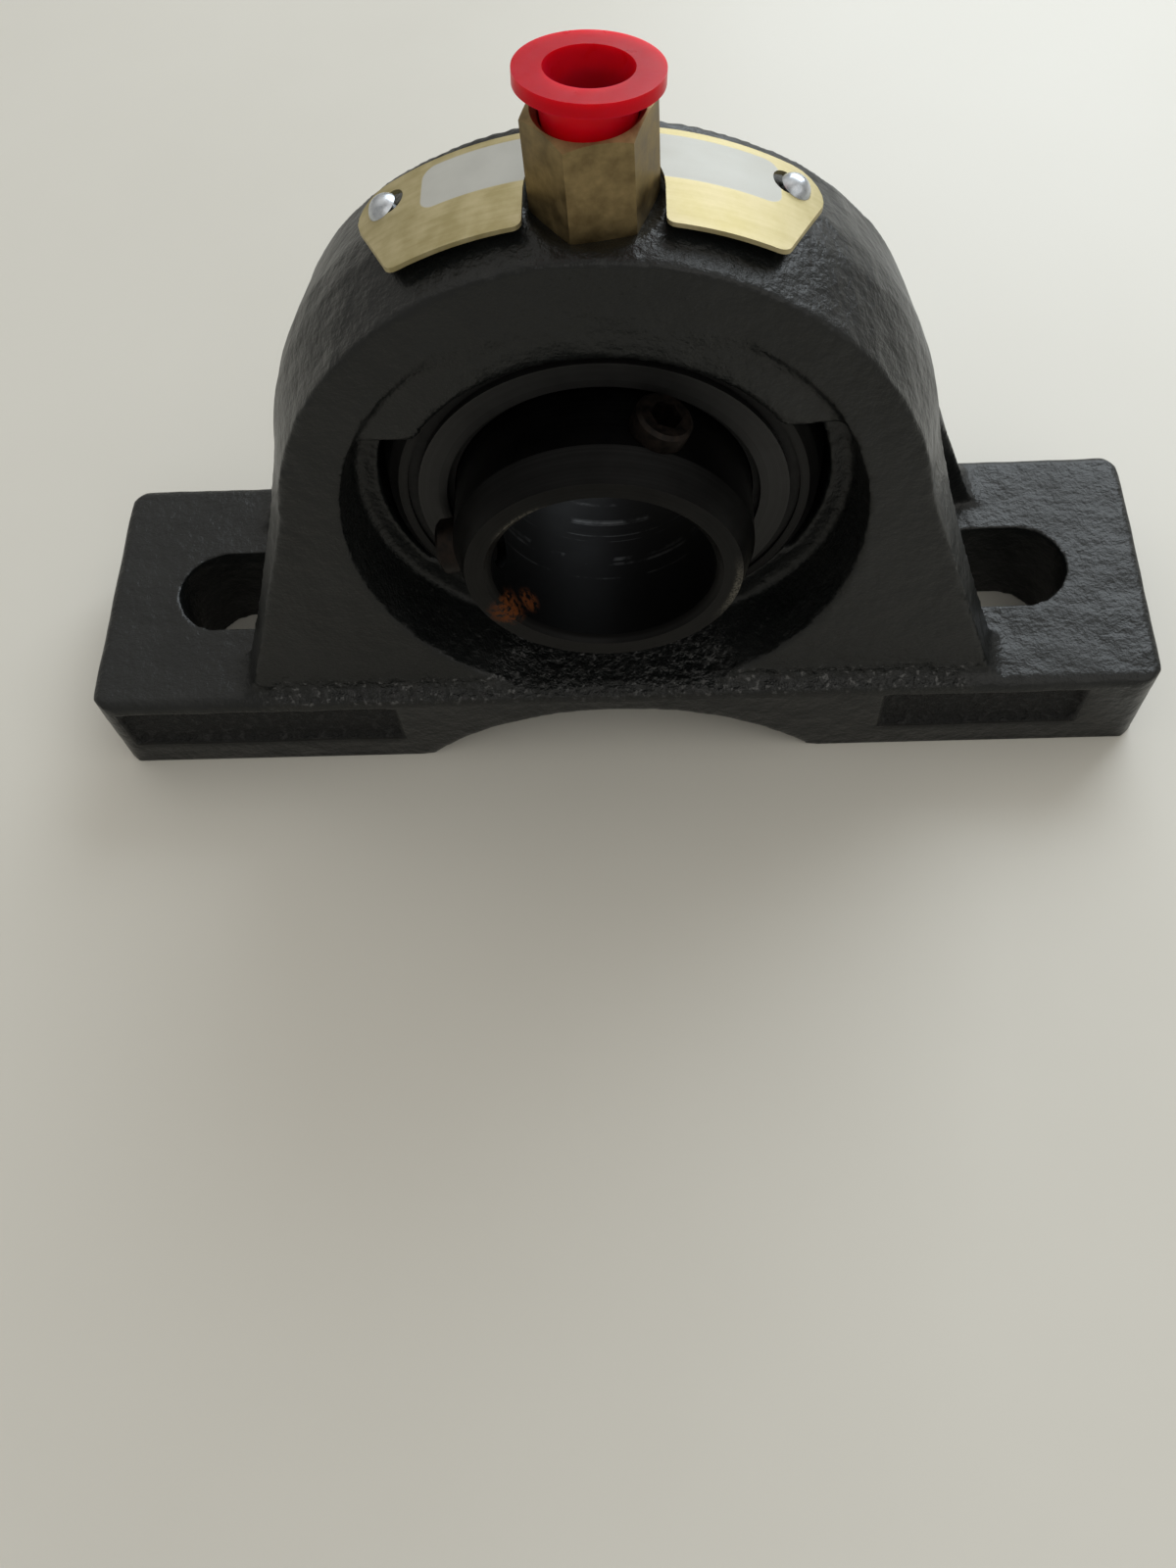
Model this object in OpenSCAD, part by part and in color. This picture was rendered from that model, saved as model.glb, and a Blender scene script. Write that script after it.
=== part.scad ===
// High base pillow block: a slotted cast housing that carries a self-aligning ball bearing insert.
// The origin lies on the mounting plane, midway between the bolt slots. The shaft runs along Y,
// the set-screw side faces -Y, and +Z is up. All sizes are in millimetres.

/* [Base] */
// Length of the base
base_l = 142.2; // [136:0.1:152]
// Width of the base
base_w = 38.1; // [36:0.1:44]
// Thickness of the feet
foot_t = 15; // [13.5:0.1:18]
// Corner radius of the base, seen from above
base_corner_r = 4; // [1:0.5:7]
// Round-over of the top edges of the feet
foot_edge_r = 1.5; // [0.5:0.1:1.8]
// Set-back of the lower long edges by casting draft
base_draft = 0.4; // [0.1:0.1:1]
// Set-back of the lower ends by casting draft
end_draft = 0.6; // [0.1:0.1:1.2]
// Distance between the centres of the bolt slots
bolt_spacing = 104; // [100:0.5:108]
// Width of a bolt slot
slot_w = 12.7; // [9:0.1:14]
// Length of a bolt slot, end to end
slot_l = 17.5; // [15:0.1:20]
// Radius of the room for a bolt head and its washer above a slot
bolt_room_r = 10.8; // [8:0.1:11.5]
// Width of the arch under the base
arch_w = 52.4; // [46:0.1:56]
// Web between the bearing seat and the arch
arch_web = 6; // [5:0.1:7]
// Round-over of the lower edges beside the arch
arch_foot_r = 3; // [0.5:0.1:4]
// Depth of the two sunk panels on the front of the base
panel_depth = 1.3; // [0.5:0.1:1.8]
// Height of the sunk panels
panel_h = 7.6; // [5:0.1:9]
// Length of the left panel
panel_left_l = 37.6; // [25:0.1:38]
// Length of the right panel
panel_right_l = 25.8; // [20:0.1:34]

/* [Housing] */
// Height of the shaft above the mounting plane
shaft_h = 42.9; // [41:0.1:50]
// Wall of the crown's ridge outside the seat
crown_wall = 13.4; // [12:0.1:16]
// How far the crown's own centre lies below the shaft
crown_drop = 3.1; // [0:0.1:5]
// Width of the level ridge on the crown
ridge_w = 4; // [2:0.1:8]
// Draft of the crown and sides from the ridge to the faces, as a slope
crown_draft = 0.166; // [0.03:0.001:0.2]
// Width over the flared sides where the faces meet the feet
flare_w = 97.4; // [92:0.1:100]
// Ledge between the long edge of the base and the face of the housing
ledge_w = 2.05; // [1.9:0.05:4]
// Fillet between the sides and the feet
side_fillet_r = 3; // [1:0.1:4]
// Fillet between the faces and the ledge
face_fillet_r = 1.1; // [0.4:0.1:1.6]
// How far the crown's rim stands in front of the outer ring
rim_lip = 1.3; // [1:0.1:3]
// How far the upper land stands in front of the outer ring
land_lip = 2.3; // [1:0.1:3]
// How far the lower floor of the recess lies behind the outer ring's face
floor_drop = 1.8; // [0.5:0.1:3]
// Width of the recess floor round the seat
recess_margin = 3.5; // [2.5:0.1:4.2]
// Sill between the top of the feet and the bottom of the recess
recess_sill = 0.4; // [0.2:0.1:2]
// How far a loading notch reaches past the edge-on insert, above and below it
notch_play = 4; // [0.5:0.1:5]

/* [Insert] */
// Bore for the shaft
bore_d = 25.4; // [24:0.1:27]
// Wall of the inner ring
ring_wall = 4.4; // [4:0.1:5]
// Radial gap between the shoulders of the two rings
row_gap = 4.8; // [4.4:0.1:5.2]
// Ball diameter
ball_d = 7.94; // [7:0.01:8.6]
// Rim of the cage on each side of the balls
cage_rim = 1.03; // [0.6:0.01:1.3]
// Gap between the cage and a seal
seal_play = 1.4; // [0.8:0.1:2]
// Thickness of a seal
seal_t = 2.2; // [1.5:0.1:3]
// How far a seal lies behind the outer ring's face
seal_inset = 0.4; // [0.2:0.1:0.8]
// Step of the seal's seat outside the outer ring's shoulder
seal_step = 0.75; // [0.5:0.05:1]
// Wall of the outer ring round the seal's seat
outer_wall = 1.74; // [1.2:0.01:2.4]
// Chamfer of the outer ring's corners
ring_corner = 0.7; // [0.2:0.1:1]
// Thickness of a shield
shield_t = 0.9; // [0.4:0.1:1.2]
// Gap between a shield and the inner ring
shield_in_gap = 1; // [0.6:0.1:1.6]
// How far a shield's edge lies inside the outer ring's shoulder
shield_out_gap = 0.5; // [0.2:0.1:1]
// Diameter of a set screw
screw_d = 6.35; // [5:0.05:7]
// Gap between the front shield and the set screws
screw_clear = 0.8; // [0.4:0.1:2]
// Length of the inner ring in front of the set screws
nose_l = 3.75; // [2.5:0.05:6]
// Length of the taper at the front of the inner ring
taper_l = 4; // [2:0.1:5]
// Radial drop of that taper
taper_drop = 1.45; // [0.6:0.05:2.4]
// Reach of the inner ring behind the rear shield
back_reach = 4.8; // [2:0.1:8]
// How far the set screws stand out of the inner ring
screw_proud = 2.2; // [0.5:0.1:3]
// Diameter of the locking pin
pin_d = 3; // [2:0.1:4]

/* [Fitting and plate] */
// Place of the grease coupling along the base
fitting_x = 1; // [-2:0.1:2]
// Place of the grease coupling along the shaft
fitting_y = -1.9; // [-3:0.1:2]
// Depth of the spot face under the coupling, from the crown's top
spot_depth = 1.5; // [1:0.1:3]
// Across flats of the coupling's hexagon
hex_af = 11.1; // [10:0.1:13]
// Height of the hexagon
hex_h = 10.35; // [9:0.05:14]
// Turn of the hexagon about its axis, in degrees
hex_turn = 9; // [0:1:30]
// Wall of the hexagon at its flats
hex_wall = 0.8; // [0.5:0.1:1.4]
// Thickness of the hexagon's floor
hex_floor = 2.7; // [1.5:0.1:4]
// Diameter of the coupling's stub in the housing
stub_d = 6.2; // [5:0.1:8]
// Diameter of the grease passage
passage_d = 3; // [1.5:0.1:4]
// Reach of the plug's flange past the coupling's bore
plug_lip = 2.15; // [1:0.05:3.5]
// Thickness of the plug's flange
plug_flange_t = 1.3; // [0.8:0.1:2]
// Wall of the plug
plug_wall = 0.8; // [0.5:0.1:1.4]
// How far the plug's flange stands above the coupling
plug_stand = 1.9; // [1.2:0.1:4]
// Length of the plug inside the coupling
plug_depth = 5; // [3:0.1:6]
// Tilt of the plug to the rear, in degrees
plug_tilt = 9.5; // [0:0.5:10]
// Tilt of the plug to the right, in degrees
plug_lean = 4; // [0:0.5:5]
// Thickness of the name plate
tag_t = 0.5; // [0.3:0.05:1]
// Width of the name plate along the shaft
tag_w = 13.2; // [12:0.1:16]
// Length of the plate's rear edge, seen from above
tag_rear_l = 50.5; // [46:0.1:54]
// Length of the plate's front edge, seen from above
tag_front_l = 38.6; // [34:0.1:44]
// Distance of a drive screw from the plate's end
tag_screw_edge = 3.1; // [2.4:0.1:5]
// Head diameter of a drive screw
drive_head_d = 3.4; // [2.8:0.1:4.4]

/* [Hidden] */

$fn = 96;
over = 1;
long = 200;

// Clearances
seat_gap = 0.05;
press_gap = 0.02;
race_gap = 0.1;
pocket_gap = 0.15;
cage_gap = 0.4;
lip_gap = 0.15;
thread_gap = 0.05;
pin_gap = 0.05;
pin_slot_gap = 0.1;
notch_gap = 0.12;
plug_gap = 0.2;
tag_gap = 0.3;

// Insert, from the bore outwards
bore_r = bore_d / 2;
ring_od = bore_d + 2 * ring_wall;
shoulder_d = ring_od + 2 * row_gap;
ball_pitch_d = (ring_od + shoulder_d) / 2;
seal_d = shoulder_d + 2 * seal_step;
cage_w = ball_d + 2 * cage_rim;
outer_w = cage_w + 2 * (seal_play + seal_t + seal_inset);
insert_r = sqrt(pow(seal_d / 2 + outer_wall, 2) + pow(outer_w / 2, 2));
insert_d = 2 * insert_r;
shield_bore_d = ring_od + 2 * shield_in_gap;
shield_d = shoulder_d - 2 * shield_out_gap;

// Places along the shaft, measured from the ball row
seal_out = outer_w / 2 - seal_inset;
seal_in = seal_out - seal_t;
shield_out = seal_out + shield_t;
screw_y = shield_out + screw_clear + screw_d / 2;
ring_front = screw_y + screw_d / 2 + nose_l;
ring_back = shield_out + back_reach;
land_y = outer_w / 2 + land_lip;
floor_y = outer_w / 2 - floor_drop;

// Details of the insert
bore_chamfer = 0.8;
edge_chamfer = 0.5;
ball_count = 9;
ball_start_a = 10;
screw_angles = [67.5, 187.5];
screw_tip_gap = 0.5;
screw_tip_chamfer = 0.8;
screw_end_chamfer = 0.4;
screw_socket = screw_d / 2;
socket_depth = 3;
groove_w = 3;
groove_depth = 0.8;
oil_hole_d = 1.8;
pin_reach = 1.4;
pin_slot_l = pin_d + 3.4;
pin_slot_floor = 0.3;

// Housing form
body_w = base_w - 2 * ledge_w;
rim_w = outer_w + 2 * rim_lip;
crown_r = insert_r + crown_wall;
crown_z = shaft_h - crown_drop;
crown_top = crown_z + crown_r;
side_bite = 0.4;
recess_r = insert_r + recess_margin;
recess_draft = 0.16;
notch_h = outer_w + 2 * notch_play;
seat_bottom = shaft_h - insert_r;
body_sink = 3;
body_root = foot_t - body_sink;
pin_seat = arch_web / 2;

// Arch form: one arc over the arch's width
arch_h = seat_bottom - arch_web;
arch_r = (pow(arch_w / 2, 2) + pow(arch_h, 2)) / (2 * arch_h);
arch_z = arch_h - arch_r;

// Sunk panels
panel_left_x = -base_l / 2 + 3.7;
panel_right_x = base_l / 4;
panel_z = (foot_t - foot_edge_r - panel_h) / 2 + 2;
panel_corner_r = 1;

// Fitting
spot_z = crown_top - spot_depth;
hex_r = hex_af / cos(30) / 2;
hex_top = spot_z + hex_h;
hex_chamfer = 0.6;
spot_r = hex_r + 0.4;
mouth_chamfer = 0.6;
stub_l = 6;
coupling_bore_d = hex_af - 2 * hex_wall;
coupling_bore_l = hex_h - hex_floor;
throat_z = hex_top - mouth_chamfer;
plug_taper = 0.17;

// Name plate
tag_y = -0.45;
tag_front = tag_y - tag_w / 2;
tag_rear = tag_y + tag_w / 2;
tag_corner_r = 1.6;
tag_rear_r = 3;
tag_slot_corner_r = 0.8;
tag_slot_r = hex_r + 0.4;
tag_hole_d = 3;
tag_hole_l = 1.2;
drive_shank_d = 2.3;
drive_shank_l = 5;
drive_head_h = 1.1;
drive_y = tag_rear - 3.05;
tag_flare = (tag_rear_l - tag_front_l) / 2 * (drive_y - tag_front) / tag_w;
drive_x = tag_front_l / 2 + tag_flare - tag_screw_edge;
tag_screw_a = asin(drive_x / (crown_r + tag_gap + tag_t));

// Points of an arc about c, from angle a0 to a1
function arc(c, r, a0, a1, n) = [
    for (i = [0:n])
    let (a = a0 + (a1 - a0) * i / n)
    c + r * [cos(a), sin(a)]
];

function unit(v) = v / norm(v);

// The arc that rounds corner p between its neighbours before and after
function corner(before, p, after, r, n) =
    let (u = unit(before - p))
    let (v = unit(after - p))
    let (half = acos(u * v) / 2)
    let (c = p + unit(u + v) * r / sin(half))
    let (a = p + u * r / tan(half) - c)
    let (b = p + v * r / tan(half) - c)
    let (a0 = atan2(a.y, a.x))
    let (turn = (atan2(b.y, b.x) - a0 + 900) % 360 - 180)
    arc(c, r, a0, a0 + turn, n);

// A polygon's points with every corner rounded by its own radius
function rounded(points, radii, n = 6) = [
    for (i = [0:len(points) - 1])
    let (last = len(points) - 1)
    each radii[i] == 0
        ? [points[i]]
        : corner(points[i == 0 ? last : i - 1], points[i], points[i == last ? 0 : i + 1], radii[i], n)
];

// Moves a solid made along Z to the shaft, with +Z turned to the front
module on_shaft() {
    translate([0, 0, shaft_h]) rotate([90, 0, 0]) children();
}

// Extrudes an outline drawn in X and Z through the whole width
module across(width) {
    translate([0, width / 2, 0]) rotate([90, 0, 0]) linear_extrude(width) children();
}

// Extrudes an outline drawn in Y and Z through the whole length
module along(length) {
    translate([-length / 2, 0, 0]) rotate([90, 0, 90]) linear_extrude(length) children();
}

// Everything above a height
module above(z) {
    translate([-long / 2, -long / 2, z]) cube([long, long, long]);
}

// Places a radial solid on the crown's ridge at an angle from the top
module on_crown(angle, y) {
    translate([0, y, crown_z]) rotate([0, angle, 0]) translate([0, 0, crown_r]) children();
}

module at_fitting() {
    translate([fitting_x, fitting_y, 0]) children();
}

// Places a radial solid at a set screw's angle, with +Z pointing out of the shaft
module at_screw(angle) {
    translate([0, -screw_y, shaft_h]) rotate([0, 90 - angle, 0]) children();
}

module tube(z0, z1, outer_d, inner_d) {
    translate([0, 0, z0]) difference() {
        cylinder(h = z1 - z0, d = outer_d);
        translate([0, 0, -over]) cylinder(h = z1 - z0 + 2 * over, d = inner_d);
    }
}

module ball_race() {
    rotate_extrude() translate([ball_pitch_d / 2, 0]) circle(d = ball_d + 2 * race_gap);
}

module base_plan() {
    l = base_l / 2;
    w = base_w / 2;
    radii = [base_corner_r, base_corner_r, base_corner_r, base_corner_r];
    polygon(rounded([[-l, -w], [l, -w], [l, w], [-l, w]], radii));
}

module base_block() {
    l = base_l / 2;
    w = base_w / 2;
    low_l = l - end_draft;
    low_w = w - base_draft;
    top_radii = [0, 0, foot_edge_r, foot_edge_r];
    intersection() {
        linear_extrude(foot_t) base_plan();
        across(base_w) polygon(rounded([[-low_l, 0], [low_l, 0], [l, foot_t], [-l, foot_t]], top_radii));
        along(base_l) polygon(rounded([[-low_w, 0], [low_w, 0], [w, foot_t], [-w, foot_t]], top_radii));
    }
}

// The crown: a level ridge with a cone falling to each face
module crown() {
    half = base_w / 2;
    rim_r = crown_r - crown_draft * (half - ridge_w / 2);
    translate([0, 0, crown_z]) rotate([90, 0, 0]) rotate_extrude() polygon([
        [0, -half],
        [rim_r, -half],
        [crown_r, -ridge_w / 2],
        [crown_r, ridge_w / 2],
        [rim_r, half],
        [0, half]
    ]);
}

// The right side with its fillet at the foot, turned by the draft towards one face
module drafted_side(turn) {
    inside = -base_w / 4;
    foot = [flare_w / 2 + crown_draft * body_w / 2, foot_t];
    centre = [0, crown_z];
    to_foot = foot - centre;
    touch_r = crown_r - side_bite;
    touch_a = atan2(to_foot.y, to_foot.x) + acos(touch_r / norm(to_foot));
    touch = centre + touch_r * [cos(touch_a), sin(touch_a)];
    side_a = atan2(touch.y - foot.y, touch.x - foot.x);
    run = side_fillet_r / tan(side_a / 2);
    fillet = arc(foot + [run, side_fillet_r], side_fillet_r, -90, side_a - 270, 5);
    outline = concat([[inside, body_root], [foot.x + run, body_root]], fillet, [touch, [inside, touch.y]]);
    translate([foot.x, 0, 0]) rotate([0, 0, turn]) translate([-foot.x, 0, 0])
        across(2 * base_w) polygon(outline);
}

module sides() {
    turn = atan(crown_draft);
    for (side = [0, 1]) mirror([side, 0, 0]) intersection() {
        drafted_side(turn);
        drafted_side(-turn);
    }
}

// Side outline: faces that lean in from the ledges to the crown
module body_side() {
    w = body_w / 2;
    lift = face_fillet_r;
    half = concat(
        [[w + lift, body_root]],
        arc([w + lift, foot_t + lift], lift, 270, 180, 5),
        [[rim_w / 2, crown_top], [rim_w / 2, crown_top + over]]
    );
    polygon(concat(half, [for (i = [len(half) - 1:-1:0]) [-half[i].x, half[i].y]]));
}

// Room for a bolt head and washer between the front and rear webs, over the slot's whole run
module bolt_room(side) {
    nearest = bolt_spacing / 2 - (slot_l - slot_w) / 2;
    translate([side * nearest, 0, foot_t]) {
        cylinder(h = crown_top, r = bolt_room_r);
        translate([side > 0 ? 0 : -long, -bolt_room_r, 0]) cube([long, 2 * bolt_room_r, crown_top]);
    }
}

module body_block() {
    difference() {
        intersection() {
            union() {
                crown();
                sides();
            }
            along(base_l) body_side();
        }
        for (side = [-1, 1]) bolt_room(side);
    }
}

module bolt_slot(side) {
    run = slot_l - slot_w;
    translate([side * bolt_spacing / 2, 0, -over]) linear_extrude(foot_t + 2 * over) {
        for (end = [-1, 1]) translate([end * run / 2, 0]) circle(d = slot_w);
        square([run, slot_w], center = true);
    }
}

// One arc between two rounded lower edges
module arch() {
    foot_x = sqrt(pow(arch_r + arch_foot_r, 2) - pow(arch_foot_r - arch_z, 2));
    join_a = atan2(arch_foot_r - arch_z, foot_x);
    across(base_w + 2 * over) polygon(concat(
        [[foot_x, -over]],
        arc([foot_x, arch_foot_r], arch_foot_r, 270, 180 + join_a, 5),
        arc([0, arch_z], arch_r, join_a + 1, 179 - join_a, 30),
        arc([-foot_x, arch_foot_r], arch_foot_r, -join_a, -90, 5),
        [[-foot_x, -over]]
    ));
}

module panel(x, l) {
    radii = [panel_corner_r, panel_corner_r, panel_corner_r, panel_corner_r];
    outline = rounded([[0, 0], [l, 0], [l, panel_h], [0, panel_h]], radii);
    translate([x, -base_w / 2 + panel_depth, panel_z]) rotate([90, 0, 0])
        linear_extrude(panel_depth + over) polygon(outline);
}

// Dished recess whose wall opens towards a face
module recess_cone(from) {
    to = base_w / 2;
    from_r = recess_r + (from - land_y) * recess_draft;
    to_r = recess_r + (to - land_y) * recess_draft;
    translate([0, 0, from]) cylinder(h = to - from, r1 = from_r, r2 = to_r);
}

// The front recess is deep below the loading notches and stops at the land above them
module front_recess() {
    intersection() {
        difference() {
            on_shaft() recess_cone(floor_y);
            translate([-long / 2, -land_y, shaft_h + notch_h / 2]) cube([long, land_y + over, long]);
        }
        above(foot_t + recess_sill);
    }
}

module rear_recess() {
    intersection() {
        on_shaft() mirror([0, 0, 1]) recess_cone(land_y);
        above(foot_t + recess_sill);
    }
}

// The insert goes in edge-on through these notches, as far as the seat's middle, and is then turned
module loading_notches() {
    intersection() {
        on_shaft() cylinder(h = floor_y + over, r = insert_r + notch_gap);
        translate([-long / 2, -long, shaft_h - notch_h / 2]) cube([long, long, notch_h]);
    }
}

module fitting_holes() {
    at_fitting() {
        translate([0, 0, spot_z]) cylinder(h = crown_r, r = spot_r);
        translate([0, 0, spot_z - stub_l - over]) cylinder(h = crown_r, d = stub_d + 2 * press_gap);
        translate([0, 0, shaft_h]) cylinder(h = crown_r, d = passage_d);
    }
    for (side = [-1, 1])
        on_crown(side * tag_screw_a, drive_y) translate([0, 0, -drive_shank_l - over])
            cylinder(h = crown_r, d = drive_shank_d + 2 * press_gap, $fn = 32);
    translate([0, 0, seat_bottom - pin_seat]) cylinder(h = insert_r, d = pin_d + 2 * pin_gap, $fn = 32);
}

module housing() {
    color("#26292b") difference() {
        union() {
            base_block();
            body_block();
        }
        front_recess();
        rear_recess();
        on_shaft() sphere(r = insert_r + seat_gap);
        loading_notches();
        fitting_holes();
        for (side = [-1, 1]) bolt_slot(side);
        arch();
        panel(panel_left_x, panel_left_l);
        panel(panel_right_x, panel_right_l);
    }
}

module outer_ring() {
    half = outer_w / 2;
    face_r = seal_d / 2 + outer_wall - ring_corner;
    reach = insert_r - face_r + over;
    color("#3b3e40") on_shaft() difference() {
        intersection() {
            sphere(r = insert_r);
            rotate_extrude() polygon([
                [0, -half],
                [face_r, -half],
                [face_r + reach, reach - half],
                [face_r + reach, half - reach],
                [face_r, half],
                [0, half]
            ]);
        }
        cylinder(h = outer_w + 2 * over, d = shoulder_d, center = true);
        for (side = [0, 1])
            mirror([0, 0, side]) translate([0, 0, seal_in]) cylinder(h = outer_w, d = seal_d);
        ball_race();
        tube(-groove_w / 2, groove_w / 2, insert_d + 2 * over, insert_d - 2 * groove_depth);
        rotate([-90, 0, 0]) cylinder(h = insert_d, d = oil_hole_d, $fn = 32);
        translate([-pin_d / 2 - pin_slot_gap, -insert_r - over, -pin_slot_l / 2])
            cube([pin_d + 2 * pin_slot_gap, pin_reach + over + pin_slot_floor, pin_slot_l]);
    }
}

module inner_ring() {
    ring_r = ring_od / 2;
    face_r = ring_r - taper_drop;
    color("#2e3133") difference() {
        on_shaft() difference() {
            rotate_extrude() polygon([
                [bore_r, -ring_back + bore_chamfer],
                [bore_r + bore_chamfer, -ring_back],
                [ring_r - edge_chamfer, -ring_back],
                [ring_r, -ring_back + edge_chamfer],
                [ring_r, ring_front - taper_l],
                [face_r, ring_front],
                [bore_r + bore_chamfer, ring_front],
                [bore_r, ring_front - bore_chamfer]
            ]);
            ball_race();
        }
        for (angle = screw_angles)
            at_screw(angle) cylinder(h = ring_od, d = screw_d + 2 * thread_gap, $fn = 48);
    }
}

module ball_cage() {
    color("#b89a5a") on_shaft() difference() {
        tube(-cage_w / 2, cage_w / 2, shoulder_d - 2 * cage_gap, ring_od + 2 * cage_gap);
        for (i = [1:ball_count]) at_ball(i) rotate([0, 90, 0])
            cylinder(h = 2 * ball_d, d = ball_d + 2 * pocket_gap, center = true, $fn = 48);
    }
}

module at_ball(i) {
    rotate([0, 0, ball_start_a + (i - 1) * 360 / ball_count]) translate([ball_pitch_d / 2, 0, 0]) children();
}

module ball(i) {
    color("#d0d3d6") on_shaft() at_ball(i) sphere(d = ball_d, $fn = 48);
}

module seal(side) {
    color("#141414") on_shaft() mirror([0, 0, side])
        tube(seal_in, seal_out, seal_d - 2 * press_gap, ring_od + 2 * lip_gap);
}

module shield(side) {
    color("#6f7375") on_shaft() mirror([0, 0, side]) tube(seal_out, shield_out, shield_d, shield_bore_d);
}

module set_screw(angle) {
    r = screw_d / 2;
    tip = bore_r + screw_tip_gap;
    end = ring_od / 2 + screw_proud;
    color("#4a3f38") at_screw(angle) difference() {
        rotate_extrude($fn = 48) polygon([
            [0, tip],
            [r - screw_tip_chamfer, tip],
            [r, tip + screw_tip_chamfer],
            [r, end - screw_end_chamfer],
            [r - screw_end_chamfer, end],
            [0, end]
        ]);
        translate([0, 0, end - socket_depth])
            cylinder(h = socket_depth + over, d = screw_socket / cos(30), $fn = 6);
    }
}

module locking_pin() {
    color("#9a9da0") translate([0, 0, seat_bottom - pin_seat])
        cylinder(h = pin_seat + pin_reach, d = pin_d, $fn = 32);
}

// Plate outline from above: a long rear edge, a short front edge, and a slot open to the front
module tag_plan() {
    left = fitting_x - tag_slot_r;
    right = fitting_x + tag_slot_r;
    front_end = [tag_front_l / 2, tag_front];
    rear_end = [tag_rear_l / 2, tag_rear];
    far_front = [-front_end.x, front_end.y];
    far_rear = [-rear_end.x, rear_end.y];
    polygon(concat(
        arc([fitting_x, fitting_y], tag_slot_r, 180, 0, 16),
        corner([right, fitting_y], [right, tag_front], front_end, tag_slot_corner_r, 4),
        corner([right, tag_front], front_end, rear_end, tag_corner_r, 6),
        corner(front_end, rear_end, far_rear, tag_rear_r, 6),
        corner(rear_end, far_rear, far_front, tag_rear_r, 6),
        corner(far_rear, far_front, [left, tag_front], tag_corner_r, 6),
        corner(far_front, [left, tag_front], [left, fitting_y], tag_slot_corner_r, 4)
    ));
}

module name_tag() {
    inner_d = 2 * (crown_r + tag_gap);
    color("#c8a850") difference() {
        intersection() {
            translate([0, 0, crown_z]) rotate([90, 0, 0])
                tube(-base_w / 2, base_w / 2, inner_d + 2 * tag_t, inner_d);
            translate([0, 0, crown_z]) linear_extrude(2 * crown_r) tag_plan();
        }
        for (side = [-1, 1]) on_crown(side * tag_screw_a, drive_y) {
            cylinder(h = crown_r, d = tag_hole_d, center = true, $fn = 32);
            translate([-side * tag_hole_l, 0, 0])
                cylinder(h = crown_r, d = tag_hole_d, center = true, $fn = 32);
        }
    }
}

module drive_screw(side) {
    seat = tag_gap + tag_t;
    ball_r = (pow(drive_head_d / 2, 2) + pow(drive_head_h, 2)) / (2 * drive_head_h);
    color("#b4b8ba") on_crown(side * tag_screw_a, drive_y) {
        translate([0, 0, -drive_shank_l])
            cylinder(h = drive_shank_l + seat + drive_head_h / 2, d = drive_shank_d, $fn = 32);
        intersection() {
            translate([0, 0, seat + drive_head_h - ball_r]) sphere(r = ball_r, $fn = 48);
            translate([0, 0, seat]) cylinder(h = drive_head_h + over, d = drive_head_d + over, $fn = 48);
        }
    }
}

module grease_coupling() {
    mouth_r = coupling_bore_d / 2;
    color("#8f7f5c") at_fitting() difference() {
        union() {
            intersection() {
                translate([0, 0, spot_z]) rotate([0, 0, hex_turn]) cylinder(h = hex_h, r = hex_r, $fn = 6);
                rotate_extrude() polygon([
                    [0, spot_z],
                    [hex_r + over, spot_z],
                    [hex_r + over, hex_top - hex_chamfer - over * tan(30)],
                    [hex_r - hex_chamfer / tan(30), hex_top],
                    [0, hex_top]
                ]);
            }
            translate([0, 0, spot_z - stub_l]) cylinder(h = stub_l + over, d = stub_d);
        }
        translate([0, 0, hex_top - coupling_bore_l]) cylinder(h = coupling_bore_l + over, r = mouth_r);
        translate([0, 0, throat_z])
            cylinder(h = 2 * mouth_chamfer, r1 = mouth_r, r2 = mouth_r + 2 * mouth_chamfer);
        translate([0, 0, spot_z - stub_l - over]) cylinder(h = hex_h + stub_l, d = passage_d);
    }
}

// The plug is tapered and hollow, and leans in the coupling's mouth
module closure_plug() {
    throat_r = coupling_bore_d / 2 - plug_gap;
    tip = mouth_chamfer - plug_depth;
    under = mouth_chamfer + plug_stand;
    flange_top = under + plug_flange_t;
    flange_r = coupling_bore_d / 2 + plug_lip;
    neck_r = throat_r + plug_taper * under;
    tip_r = throat_r + plug_taper * tip;
    color("#d01828") at_fitting() translate([0, 0, throat_z]) rotate([-plug_tilt, plug_lean, 0])
        rotate_extrude() polygon([
            [0, tip],
            [tip_r, tip],
            [neck_r, under],
            [flange_r, under],
            [flange_r, flange_top],
            [neck_r - plug_wall, flange_top],
            [tip_r - plug_wall, tip + plug_wall],
            [0, tip + plug_wall]
        ]);
}

housing();
outer_ring();
inner_ring();
ball_cage();
for (i = [1:ball_count]) ball(i);
seal(0);  // front_seal
seal(1);  // rear_seal
shield(0);  // front_shield
shield(1);  // rear_shield
set_screw(screw_angles[0]);  // set_screw_1
set_screw(screw_angles[1]);  // set_screw_2
locking_pin();
name_tag();
drive_screw(-1);  // drive_screw_left
drive_screw(1);  // drive_screw_right
grease_coupling();
closure_plug();
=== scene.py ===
import math

import bmesh
import bpy
import numpy as np
from mathutils import Matrix, Vector, noise


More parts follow.
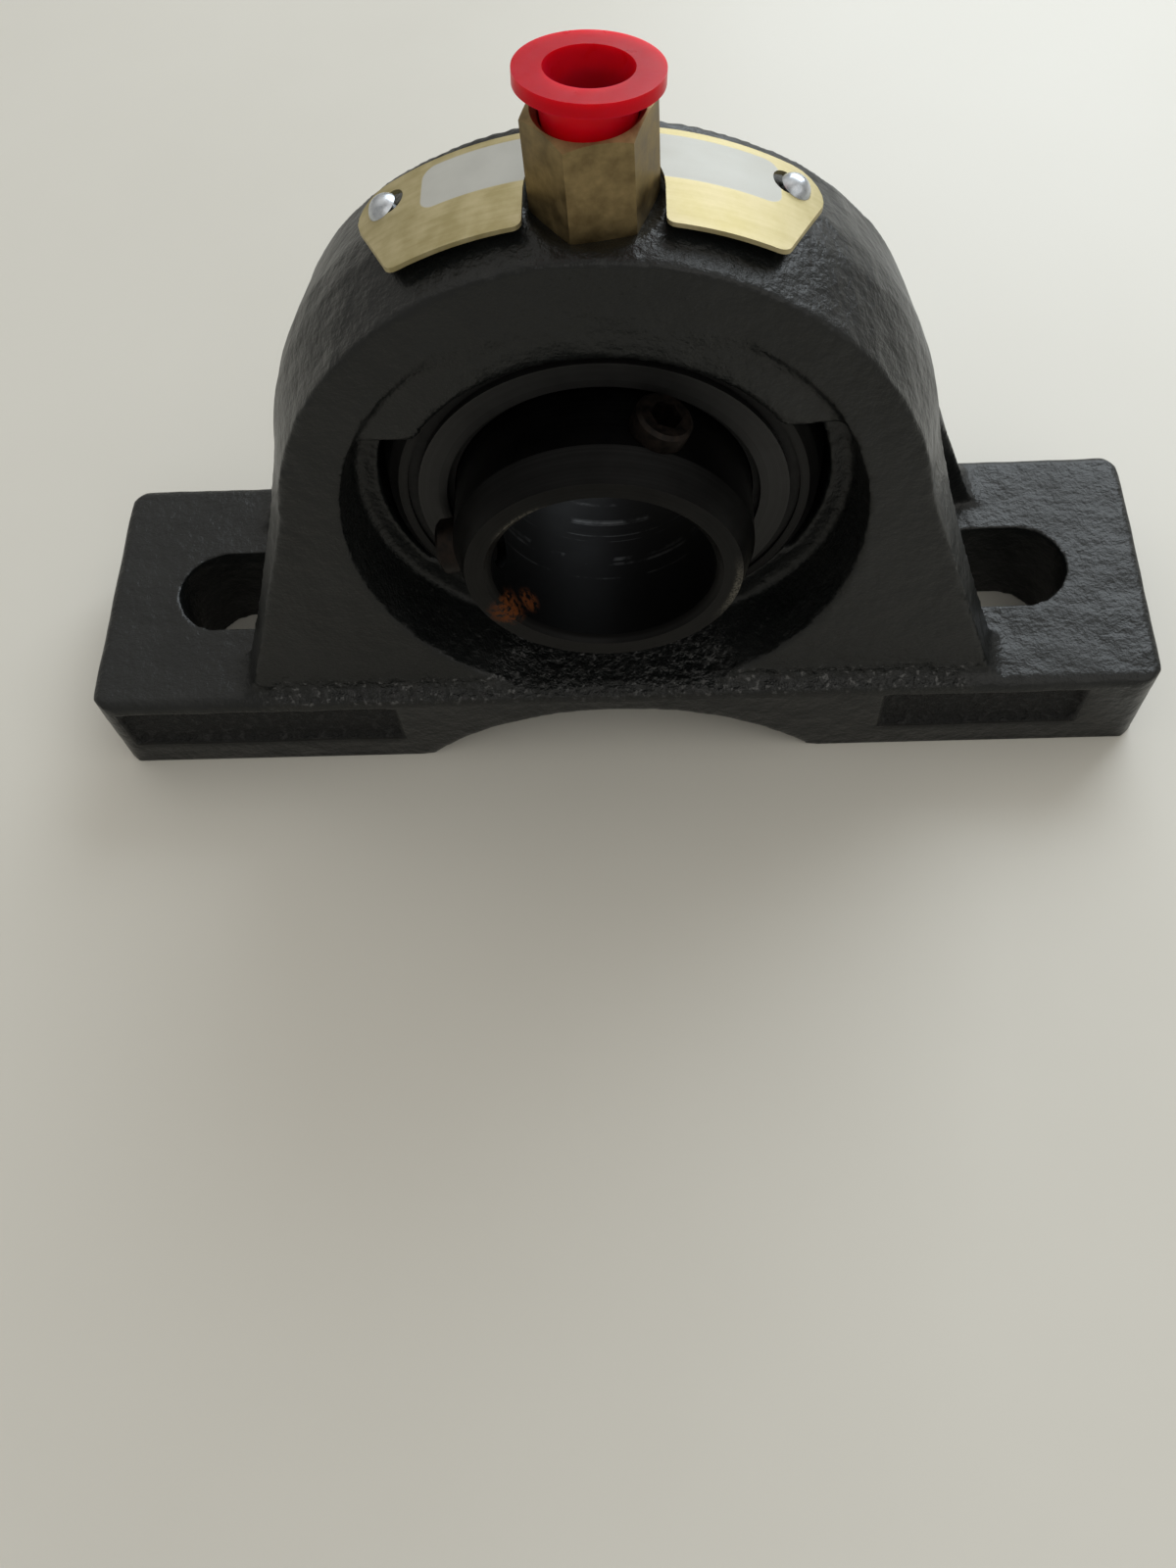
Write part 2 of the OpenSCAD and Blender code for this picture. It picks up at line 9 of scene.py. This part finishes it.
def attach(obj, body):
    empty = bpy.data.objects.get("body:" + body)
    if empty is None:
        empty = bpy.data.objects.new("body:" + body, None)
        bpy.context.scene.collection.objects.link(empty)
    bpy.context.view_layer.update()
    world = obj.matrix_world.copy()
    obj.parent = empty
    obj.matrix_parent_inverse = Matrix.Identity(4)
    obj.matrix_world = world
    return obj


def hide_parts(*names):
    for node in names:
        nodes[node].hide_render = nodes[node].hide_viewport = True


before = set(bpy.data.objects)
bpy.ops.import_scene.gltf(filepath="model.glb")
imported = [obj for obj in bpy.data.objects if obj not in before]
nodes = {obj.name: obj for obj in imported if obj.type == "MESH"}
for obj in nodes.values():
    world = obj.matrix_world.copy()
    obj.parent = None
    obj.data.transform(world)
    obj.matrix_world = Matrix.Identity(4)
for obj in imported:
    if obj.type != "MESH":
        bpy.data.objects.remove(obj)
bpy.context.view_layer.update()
scene = bpy.context.scene


# Sizes in metres, read from the pieces or kept as in the part's source

def extent(name):
    corners = [nodes[name].matrix_world @ Vector(c) for c in nodes[name].bound_box]
    low = Vector([min(c[i] for c in corners) for i in range(3)])
    high = Vector([max(c[i] for c in corners) for i in range(3)])
    return low, high


MM = 0.001
RING_LOW, RING_HIGH = extent("inner_ring")
SEAT_LOW, SEAT_HIGH = extent("outer_ring")
TAG_LOW, TAG_HIGH = extent("name_tag")
SHAFT_H = (RING_LOW.z + RING_HIGH.z) / 2
SEAT_R = (SEAT_HIGH.z - SEAT_LOW.z) / 2
FRONT_Y = RING_LOW.y
FACE_Y = SEAT_LOW.y
FOOT_T = 15.0 * MM
BORE_R = 12.7 * MM
RECESS_R = SEAT_R + 3.5 * MM
SPOT_Z = 77.6 * MM
PANELS = [(-67.4 * MM, -29.8 * MM), (35.55 * MM, 61.35 * MM)]
PANEL_Z = 4.95 * MM
PANEL_H = 7.6 * MM
PANEL_FLOOR_Y = -17.0 * MM
LEDGE_X = 48.0 * MM
LEDGE_Y = 13.0 * MM
CAST_VOXEL = 0.5 * MM
CAST_EASE_ROUNDS = 8
CAST_MOST_FACES = 180000


# Shader helpers

def new_material(name):
    mat = bpy.data.materials.new(name)
    mat.use_nodes = True
    tree = mat.node_tree
    return mat, tree, tree.nodes["Principled BSDF"]


def plug_in(tree, socket, value):
    if isinstance(value, bpy.types.NodeSocket):
        tree.links.new(value, socket)
    else:
        socket.default_value = value


def add(tree, kind, inputs=None, **settings):
    n = tree.nodes.new(kind)
    for key, value in settings.items():
        setattr(n, key, value)
    for key, value in (inputs or {}).items():
        plug_in(tree, n.inputs[key], value)
    return n


def coords(tree):
    return add(tree, "ShaderNodeTexCoord").outputs["Object"]


def split(tree, vec):
    return add(tree, "ShaderNodeSeparateXYZ", {0: vec}).outputs


def facing(tree):
    """The surface's normal, in parts."""
    return split(tree, add(tree, "ShaderNodeNewGeometry").outputs["Normal"])


def calc(tree, op, a, b=0.0):
    return add(tree, "ShaderNodeMath", {0: a, 1: b}, operation=op).outputs[0]


def times(tree, *values):
    out = values[0]
    for value in values[1:]:
        out = calc(tree, "MULTIPLY", out, value)
    return out


def plus(tree, *values):
    out = values[0]
    for value in values[1:]:
        out = calc(tree, "ADD", out, value)
    return out


def noise_tex(tree, vec, scale, detail, rough):
    inputs = {"Vector": vec, "Scale": scale, "Detail": detail, "Roughness": rough}
    return add(tree, "ShaderNodeTexNoise", inputs).outputs["Fac"]


def ramp(tree, value, low, high, out_low=0.0, out_high=1.0, kind="LINEAR"):
    inputs = {0: value, 1: low, 2: high, 3: out_low, 4: out_high}
    return add(tree, "ShaderNodeMapRange", inputs, interpolation_type=kind).outputs[0]


def smooth(tree, value, low, high, out_low=0.0, out_high=1.0):
    return ramp(tree, value, low, high, out_low, out_high, "SMOOTHSTEP")


def mix_color(tree, fac, a, b):
    n = add(tree, "ShaderNodeMix", data_type="RGBA")
    for key, value in ((0, fac), (6, a), (7, b)):
        plug_in(tree, n.inputs[key], value)
    return n.outputs[2]


def grey(value, warm=0.0):
    return (value * (1.0 + warm), value, value * (1.0 - warm), 1.0)


def rgb(r, g, b):
    return (r, g, b, 1.0)


def bump(tree, height, strength, distance):
    inputs = {"Height": height, "Strength": strength, "Distance": distance}
    return add(tree, "ShaderNodeBump", inputs).outputs["Normal"]


def shaft_coords(tree, vec):
    """Distance from the shaft's axis, and place along it."""
    xyz = split(tree, vec)
    up = calc(tree, "SUBTRACT", xyz["Z"], SHAFT_H)
    r = calc(tree, "SQRT", plus(tree, times(tree, xyz["X"], xyz["X"]), times(tree, up, up)))
    return r, xyz["Y"]


def between(tree, value, low, high):
    """1 inside a range, with soft ends."""
    soft = 0.5 * MM
    return times(tree, smooth(tree, value, low - soft, low), smooth(tree, value, high, high + soft, 1.0, 0.0))


def near(tree, vec, point, radius):
    """1 at a point, falling to 0 at a radius from it."""
    inputs = {0: vec, 1: point}
    d = add(tree, "ShaderNodeVectorMath", inputs, operation="DISTANCE").outputs["Value"]
    return smooth(tree, d, radius * 0.3, radius, 1.0, 0.0)


def arc(tree, vec, angles, radii):
    """1 along a stretch of the inner ring's front, with soft ends."""
    xyz = split(tree, vec)
    up = calc(tree, "SUBTRACT", xyz["Z"], SHAFT_H)
    angle = calc(tree, "ARCTAN2", up, xyz["X"])
    low, high = (math.radians(a) for a in angles)
    soft = (high - low) / 2
    r, y = shaft_coords(tree, vec)
    return times(tree, smooth(tree, angle, low, low + soft), smooth(tree, angle, high - soft, high, 1.0, 0.0),
                 between(tree, r, *radii), smooth(tree, y, FRONT_Y + 2 * MM, FRONT_Y + 3 * MM, 1.0, 0.0))


# Materials

def paint_material():
    """Black enamel over a sand-cast skin: coarse in the panels, in the recess and along the ledge, with
    painted shade in the sunk panels and painted glints in the lower recess.
    """
    mat, t, bsdf = new_material("charcoal_paint")
    vec = coords(t)
    xyz = split(t, vec)
    r, y = shaft_coords(t, vec)
    tops = times(t, smooth(t, facing(t)["Z"], 0.5, 0.9),
                 smooth(t, xyz["Z"], FOOT_T + 1 * MM, FOOT_T + 5 * MM, 1.0, 0.0))
    dish = times(t, smooth(t, r, RECESS_R, RECESS_R + 1.2 * MM, 1.0, 0.0),
                 smooth(t, y, FACE_Y + 0.6 * MM, FACE_Y + 1.4 * MM, 1.0, 0.0),
                 smooth(t, xyz["Z"], SHAFT_H + 6 * MM, SHAFT_H + 12 * MM, 1.0, 0.0))
    ledge = times(t, smooth(t, xyz["Z"], FOOT_T - 1.5 * MM, FOOT_T - 0.5 * MM),
                  smooth(t, xyz["Z"], FOOT_T + 1.2 * MM, FOOT_T + 3 * MM, 1.0, 0.0),
                  smooth(t, calc(t, "ABSOLUTE", xyz["X"]), LEDGE_X - 3 * MM, LEDGE_X, 1.0, 0.0))
    spans = [between(t, xyz["X"], low_x, high_x) for low_x, high_x in PANELS]
    panels = times(t, plus(t, *spans), between(t, xyz["Z"], PANEL_Z, PANEL_Z + PANEL_H),
                   smooth(t, y, PANEL_FLOOR_Y - 0.6 * MM, PANEL_FLOOR_Y, 1.0, 0.0))
    pitted = calc(t, "MAXIMUM", ledge, panels)
    broad = noise_tex(t, vec, 110.0, 3.0, 0.5)
    wave = noise_tex(t, vec, 290.0, 2.0, 0.5)
    skin = noise_tex(t, vec, 850.0, 3.0, 0.6)
    peel = noise_tex(t, vec, 1250.0, 3.0, 0.6)
    grain = noise_tex(t, vec, 2300.0, 3.0, 0.6)
    tone = mix_color(t, ramp(t, broad, 0.3, 0.7), rgb(0.0045, 0.0054, 0.0054), rgb(0.009, 0.0099, 0.0097))
    # Painted shade: the sunk panels are darkened towards grey(0.0015), for the shade inside them.
    tone = mix_color(t, times(t, panels, 0.7), tone, grey(0.0015))
    tone = mix_color(t, times(t, pitted, smooth(t, skin, 0.48, 0.68), 0.6), tone, grey(0.024))
    tone = mix_color(t, times(t, ledge, smooth(t, peel, 0.56, 0.7), 0.8), tone, grey(0.11))
    # Painted highlights: sparse light specks in the lower recess stand in for glints on its rough skin.
    tone = mix_color(t, times(t, dish, smooth(t, peel, 0.64, 0.72), 0.6), tone, grey(0.05))
    plug_in(t, bsdf.inputs["Base Color"], tone)
    shine = plus(t, ramp(t, broad, 0.3, 0.7, 0.25, 0.35), times(t, grain, 0.1), times(t, panels, 0.35))
    plug_in(t, bsdf.inputs["Roughness"], shine)
    bsdf.inputs["Specular IOR Level"].default_value = 0.32
    coarse = plus(t, ramp(t, pitted, 0.0, 1.0, 0.4, 1.6), times(t, dish, 0.35), times(t, panels, 1.4))
    height = plus(t, times(t, skin, coarse),
                  times(t, peel, ramp(t, tops, 0.0, 1.0, 0.1, 0.3)),
                  times(t, grain, 0.16), times(t, wave, 0.9))
    plug_in(t, bsdf.inputs["Normal"], bump(t, height, 0.9, 0.45 * MM))
    return mat


def turned_material(name, dark, light, rough, metallic=0.85, rust=(), worn=()):
    """Turned steel: fine rings about the shaft, painted shade darkening the bore with lighter streaks along
    its turning, and spots of rust or wear.
    """
    mat, t, bsdf = new_material(name)
    vec = coords(t)
    r, y = shaft_coords(t, vec)
    rings = add(t, "ShaderNodeCombineXYZ", {0: r, 1: y, 2: 0.0}).outputs[0]
    marks = noise_tex(t, rings, 2600.0, 2.0, 0.6)
    broad = noise_tex(t, vec, 160.0, 4.0, 0.6)
    flecks = noise_tex(t, vec, 1300.0, 5.0, 0.7)
    dust = noise_tex(t, vec, 4200.0, 2.0, 0.5)
    tone = mix_color(t, ramp(t, plus(t, marks, broad), 0.7, 1.3), dark, light)
    shine = plus(t, ramp(t, broad, 0.3, 0.7, rough[0], rough[1]), times(t, marks, 0.06))
    bore = smooth(t, r, BORE_R + 0.1 * MM, BORE_R + 0.5 * MM, 1.0, 0.0)
    lines = noise_tex(t, rings, 900.0, 2.0, 0.6)
    bore_streaks = times(t, smooth(t, lines, 0.58, 0.66), smooth(t, broad, 0.5, 0.62))
    # Painted shade: the bore is darkened towards grey(0.0015), with lighter streaks along its turning.
    tone = mix_color(t, bore, tone, grey(0.0015))
    tone = mix_color(t, times(t, bore, bore_streaks, 0.6), tone, grey(0.08))
    shine = plus(t, shine, times(t, bore, 0.15))
    for angles, radii in worn:
        spot = times(t, arc(t, vec, angles, radii), smooth(t, dust, 0.25, 0.75))
        tone = mix_color(t, times(t, spot, 0.6), tone, rgb(0.24, 0.225, 0.19))
    for point, radius in rust:
        spot = times(t, near(t, vec, point, radius), smooth(t, flecks, 0.42, 0.56))
        tone = mix_color(t, spot, tone, rgb(0.16, 0.05, 0.014))
        shine = plus(t, shine, times(t, spot, 0.4))
    plug_in(t, bsdf.inputs["Base Color"], tone)
    plug_in(t, bsdf.inputs["Roughness"], shine)
    bsdf.inputs["Metallic"].default_value = metallic
    plug_in(t, bsdf.inputs["Normal"], bump(t, marks, 0.12, 0.05 * MM))
    return mat


def plain_metal(name, dark, light, rough, scale=500.0, metallic=1.0, dent=0.1):
    """Metal with a mottled tone and slight dents."""
    mat, t, bsdf = new_material(name)
    vec = coords(t)
    broad = noise_tex(t, vec, scale, 5.0, 0.6)
    fine = noise_tex(t, vec, scale * 6.0, 3.0, 0.6)
    plug_in(t, bsdf.inputs["Base Color"], mix_color(t, ramp(t, broad, 0.32, 0.68), dark, light))
    shine = plus(t, ramp(t, broad, 0.3, 0.7, rough[0], rough[1]), times(t, fine, 0.06))
    plug_in(t, bsdf.inputs["Roughness"], shine)
    bsdf.inputs["Metallic"].default_value = metallic
    height = plus(t, broad, times(t, fine, 0.4))
    plug_in(t, bsdf.inputs["Normal"], bump(t, height, dent, 0.1 * MM))
    return mat


def rubber_material():
    """Dull black seal rubber."""
    mat, t, bsdf = new_material("black_rubber")
    n = noise_tex(t, coords(t), 900.0, 4.0, 0.6)
    plug_in(t, bsdf.inputs["Base Color"], mix_color(t, n, grey(0.003), grey(0.007)))
    plug_in(t, bsdf.inputs["Roughness"], ramp(t, n, 0.3, 0.7, 0.6, 0.75))
    bsdf.inputs["Specular IOR Level"].default_value = 0.25
    return mat


def plate_material():
    """Gold-toned plate with a pale field along its rear half."""
    mat, t, bsdf = new_material("name_plate")
    vec = coords(t)
    xyz = split(t, vec)
    corner = 1.6 * MM
    field_l = (TAG_HIGH.x - TAG_LOW.x) / 2 - 5.8 * MM
    field_x = 1.4 * MM
    field_w = 3.1 * MM
    field_y = TAG_HIGH.y - 0.8 * MM - field_w
    off_x = calc(t, "ABSOLUTE", calc(t, "SUBTRACT", xyz["X"], field_x))
    off_y = calc(t, "ABSOLUTE", calc(t, "SUBTRACT", xyz["Y"], field_y))
    dx = calc(t, "MAXIMUM", calc(t, "SUBTRACT", off_x, field_l - corner), 0.0)
    dy = calc(t, "MAXIMUM", calc(t, "SUBTRACT", off_y, field_w - corner), 0.0)
    d = calc(t, "SQRT", plus(t, times(t, dx, dx), times(t, dy, dy)))
    field = times(t, ramp(t, d, corner - 0.15 * MM, corner, 1.0, 0.0), ramp(t, facing(t)["Z"], 0.2, 0.3))
    broad = noise_tex(t, vec, 260.0, 5.0, 0.6)
    brushed = add(t, "ShaderNodeMapping", {"Vector": vec, "Scale": (70.0, 1400.0, 70.0)}).outputs[0]
    streak = noise_tex(t, brushed, 1.0, 3.0, 0.6)
    gold = mix_color(t, ramp(t, plus(t, times(t, broad, 1.4), times(t, streak, 0.6)), 0.75, 1.25),
                     rgb(0.4, 0.34, 0.17), rgb(0.56, 0.49, 0.3))
    pale = mix_color(t, broad, rgb(0.42, 0.42, 0.39), rgb(0.55, 0.55, 0.51))
    plug_in(t, bsdf.inputs["Base Color"], mix_color(t, field, gold, pale))
    plug_in(t, bsdf.inputs["Metallic"], ramp(t, field, 0.0, 1.0, 0.85, 0.25))
    shine = plus(t, ramp(t, broad, 0.3, 0.7, 0.48, 0.6), times(t, streak, 0.05))
    plug_in(t, bsdf.inputs["Roughness"], shine)
    height = plus(t, times(t, streak, 0.3), broad, times(t, field, -0.8))
    plug_in(t, bsdf.inputs["Normal"], bump(t, height, 0.15, 0.06 * MM))
    return mat


def plug_material():
    """Red soft plastic that lets some light through."""
    mat, t, bsdf = new_material("red_plug")
    n = noise_tex(t, coords(t), 420.0, 3.0, 0.5)
    red = mix_color(t, n, rgb(0.36, 0.002, 0.01), rgb(0.43, 0.004, 0.016))
    plug_in(t, bsdf.inputs["Base Color"], red)
    plug_in(t, bsdf.inputs["Roughness"], ramp(t, n, 0.3, 0.7, 0.26, 0.36))
    bsdf.inputs["Specular IOR Level"].default_value = 0.08
    bsdf.inputs["Subsurface Weight"].default_value = 1.0
    bsdf.inputs["Subsurface Radius"].default_value = (1.0, 0.06, 0.05)
    bsdf.inputs["Subsurface Scale"].default_value = 6.0 * MM
    plug_in(t, bsdf.inputs["Normal"], bump(t, n, 0.3, 0.2 * MM))
    return mat


def on_ring(angle, r, back):
    """A point on the inner ring, at a distance behind its front face."""
    a = math.radians(angle)
    return (r * math.cos(a), FRONT_Y + back, SHAFT_H + r * math.sin(a))


RUST = [(on_ring(209, BORE_R + 0.4 * MM, 0.6 * MM), 3.0 * MM), (on_ring(222, BORE_R, 3.2 * MM), 2.0 * MM)]
WORN = [((108, 156), (BORE_R + 0.2 * MM, BORE_R + 0.8 * MM)),
        ((-38, 14), (BORE_R + 2.4 * MM, BORE_R + 3.8 * MM))]

PAINT = paint_material()
INNER = turned_material("dark_ring", grey(0.003), grey(0.01), (0.28, 0.4), 0.9, RUST, WORN)
OUTER = turned_material("outer_ring_steel", grey(0.01), grey(0.022), (0.36, 0.48))
SHIELD = turned_material("shield_steel", grey(0.02), grey(0.04), (0.4, 0.5), 0.7)
SCREW = plain_metal("dark_screw", grey(0.004, 0.1), rgb(0.02, 0.014, 0.011), (0.35, 0.55), 900.0, 0.85)
PIN = plain_metal("pin_steel", grey(0.4), grey(0.55), (0.2, 0.32))
BALLS = plain_metal("ball_steel", grey(0.6), grey(0.75), (0.08, 0.14), 200.0, 1.0, 0.02)
CAGE = plain_metal("cage_brass", rgb(0.42, 0.3, 0.12), rgb(0.6, 0.45, 0.2), (0.3, 0.45))
ZINC = plain_metal("zinc", rgb(0.38, 0.41, 0.45), rgb(0.66, 0.69, 0.73), (0.2, 0.36), 900.0, 1.0, 0.2)
COUPLING = plain_metal("dull_brass", rgb(0.14, 0.1, 0.045), rgb(0.32, 0.24, 0.115), (0.34, 0.52), 420.0, 0.9)
RUBBER = rubber_material()
PLATE = plate_material()
PLUG = plug_material()

finish = {
    "outer_ring": OUTER, "inner_ring": INNER, "ball_cage": CAGE, "locking_pin": PIN, "housing": PAINT,
    "front_seal": RUBBER, "rear_seal": RUBBER, "front_shield": SHIELD, "rear_shield": SHIELD,
    "set_screw_1": SCREW, "set_screw_2": SCREW, "name_tag": PLATE, "drive_screw_left": ZINC,
    "drive_screw_right": ZINC, "grease_coupling": COUPLING, "closure_plug": PLUG,
}
for name, obj in nodes.items():
    obj.data.materials.clear()
    obj.data.materials.append(finish.get(name, BALLS))


# Casting: the housing with its edges eased and its skin made slightly uneven

def remeshed(src, voxel):
    """A closed, evenly meshed copy of a piece."""
    bm = bmesh.new()
    bm.from_mesh(src.data)
    bm.transform(src.matrix_world)
    bmesh.ops.remove_doubles(bm, verts=bm.verts, dist=2e-6)
    mesh = bpy.data.meshes.new("casting_source")
    bm.to_mesh(mesh)
    bm.free()
    obj = bpy.data.objects.new("casting", mesh)
    scene.collection.objects.link(obj)
    mod = obj.modifiers.new("remesh", "REMESH")
    mod.mode = "VOXEL"
    mod.voxel_size = voxel
    graph = bpy.context.evaluated_depsgraph_get()
    obj.data = bpy.data.meshes.new_from_object(obj.evaluated_get(graph))
    obj.modifiers.clear()
    return obj


def read_points(mesh, what):
    values = np.empty(len(mesh.vertices) * 3)
    mesh.vertices.foreach_get(what, values)
    return values.reshape(-1, 3)


def write_points(mesh, points):
    mesh.vertices.foreach_set("co", points.ravel())
    mesh.update()


def ease_edges(mesh, rounds):
    """Rounds sharp edges without shrinking the form."""
    points = read_points(mesh, "co")
    pairs = np.empty(len(mesh.edges) * 2, dtype=np.int64)
    mesh.edges.foreach_get("vertices", pairs)
    pairs = pairs.reshape(-1, 2)
    ends = np.concatenate([pairs[:, 0], pairs[:, 1]])
    others = np.concatenate([pairs[:, 1], pairs[:, 0]])
    count = len(points)
    degree = np.maximum(np.bincount(ends, minlength=count), 1)[:, None]
    for share in (0.5, -0.505) * rounds:
        sums = [np.bincount(ends, weights=points[others, k], minlength=count) for k in range(3)]
        points = points + share * (np.stack(sums, axis=1) / degree - points)
    write_points(mesh, points)


def roughen(mesh):
    """Sinks the skin by a little noise, more above the ledge, and leaves the machined faces."""
    points = read_points(mesh, "co")
    normals = read_points(mesh, "normal")
    for i, (p, n) in enumerate(zip(points, normals)):
        seat = math.hypot(p[0], p[2] - SHAFT_H) < SEAT_R + 0.6 * MM
        if seat or p[2] < 0.6 * MM or p[2] > SPOT_Z - 0.4 * MM:
            continue
        place = Vector(p)
        ripple = noise.noise(place * 330.0)
        wave = noise.noise(place * 95.0 + Vector((3.0, 0.0, 0.0)))
        depth = 0.1 + 0.07 * ripple + 0.1 * wave
        above_ledge = FOOT_T - 0.4 * MM < p[2] < FOOT_T + 2.2 * MM
        if above_ledge and abs(p[0]) < LEDGE_X - 1 * MM and abs(p[1]) > LEDGE_Y:
            depth += 0.1 + 0.32 * noise.noise(place * 850.0)
        points[i] = p - n * max(depth, 0.0) * MM
    write_points(mesh, points)


def keep_inside(mesh):
    """Holds the points within the housing's own extent."""
    write_points(mesh, np.clip(read_points(mesh, "co"), *extent("housing")))


def slimmed(obj, most):
    """Fewer triangles, taken from the flat stretches first."""
    mod = obj.modifiers.new("slim", "DECIMATE")
    mod.ratio = min(1.0, most / (2.0 * len(obj.data.polygons)))
    graph = bpy.context.evaluated_depsgraph_get()
    obj.data = bpy.data.meshes.new_from_object(obj.evaluated_get(graph))
    obj.modifiers.clear()


casting = remeshed(nodes["housing"], CAST_VOXEL)
ease_edges(casting.data, CAST_EASE_ROUNDS)
roughen(casting.data)
slimmed(casting, CAST_MOST_FACES)
keep_inside(casting.data)
casting.data.materials.clear()
casting.data.materials.append(PAINT)
casting.data.shade_smooth()
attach(casting, "housing")
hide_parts("housing")


# Floor, light and camera

def floor_material():
    """Pale, slightly warm table top."""
    mat, t, bsdf = new_material("table")
    n = noise_tex(t, coords(t), 14.0, 5.0, 0.6)
    plug_in(t, bsdf.inputs["Base Color"], mix_color(t, n, rgb(0.6, 0.583, 0.53), rgb(0.65, 0.633, 0.58)))
    plug_in(t, bsdf.inputs["Roughness"], ramp(t, n, 0.3, 0.7, 0.38, 0.46))
    return mat


bpy.ops.mesh.primitive_plane_add(size=6.0, location=(0, 0, 0))
floor = bpy.context.object
floor.name = "table"
floor.data.materials.append(floor_material())

world = bpy.data.worlds.new("studio")
scene.world = world
world.use_nodes = True
sky = world.node_tree.nodes["Background"].inputs
sky["Color"].default_value = (1.0, 0.97, 0.9, 1.0)
sky["Strength"].default_value = 0.44


def area_light(name, where, target, size, power, color):
    data = bpy.data.lights.new(name, "AREA")
    data.shape = "RECTANGLE"
    data.size, data.size_y = size
    data.energy = power
    data.color = color
    obj = bpy.data.objects.new(name, data)
    obj.location = where
    obj.rotation_euler = (Vector(target) - Vector(where)).to_track_quat("-Z", "Y").to_euler()
    scene.collection.objects.link(obj)


area_light("window", (0.27, 0.55, 0.42), (0, 0.02, 0.03), (0.6, 0.46), 3.6, (0.86, 0.94, 1.0))
area_light("ceiling", (-0.1, 0.8, 1.4), (0, 0.35, 0), (2.6, 1.8), 5.0, (1.0, 0.98, 0.94))
area_light("fill", (0.5, -0.6, 0.9), (0.02, -0.03, 0), (1.4, 1.0), 3.2, (1.0, 0.98, 0.93))

CAMERA_AT = (0.00667, -0.11215, 0.16635)
CAMERA_LENS = 31.122
YAW, PITCH, ROLL = (math.radians(a) for a in (-7.183, 61.889, -7.700))
forward = Vector((math.sin(YAW) * math.cos(PITCH), math.cos(YAW) * math.cos(PITCH), -math.sin(PITCH)))
level = Vector((math.cos(YAW), -math.sin(YAW), 0.0))
upward = level.cross(forward)
across = math.cos(ROLL) * level + math.sin(ROLL) * upward
above = math.cos(ROLL) * upward - math.sin(ROLL) * level
cam_data = bpy.data.cameras.new("camera")
cam_data.sensor_width = 36.0
cam_data.lens = CAMERA_LENS
cam_data.clip_start = 0.005
cam = bpy.data.objects.new("camera", cam_data)
turn = Matrix((across, above, -forward)).transposed().to_4x4()
cam.matrix_world = Matrix.Translation(CAMERA_AT) @ turn
scene.collection.objects.link(cam)
scene.camera = cam
scene.view_settings.view_transform = "Standard"
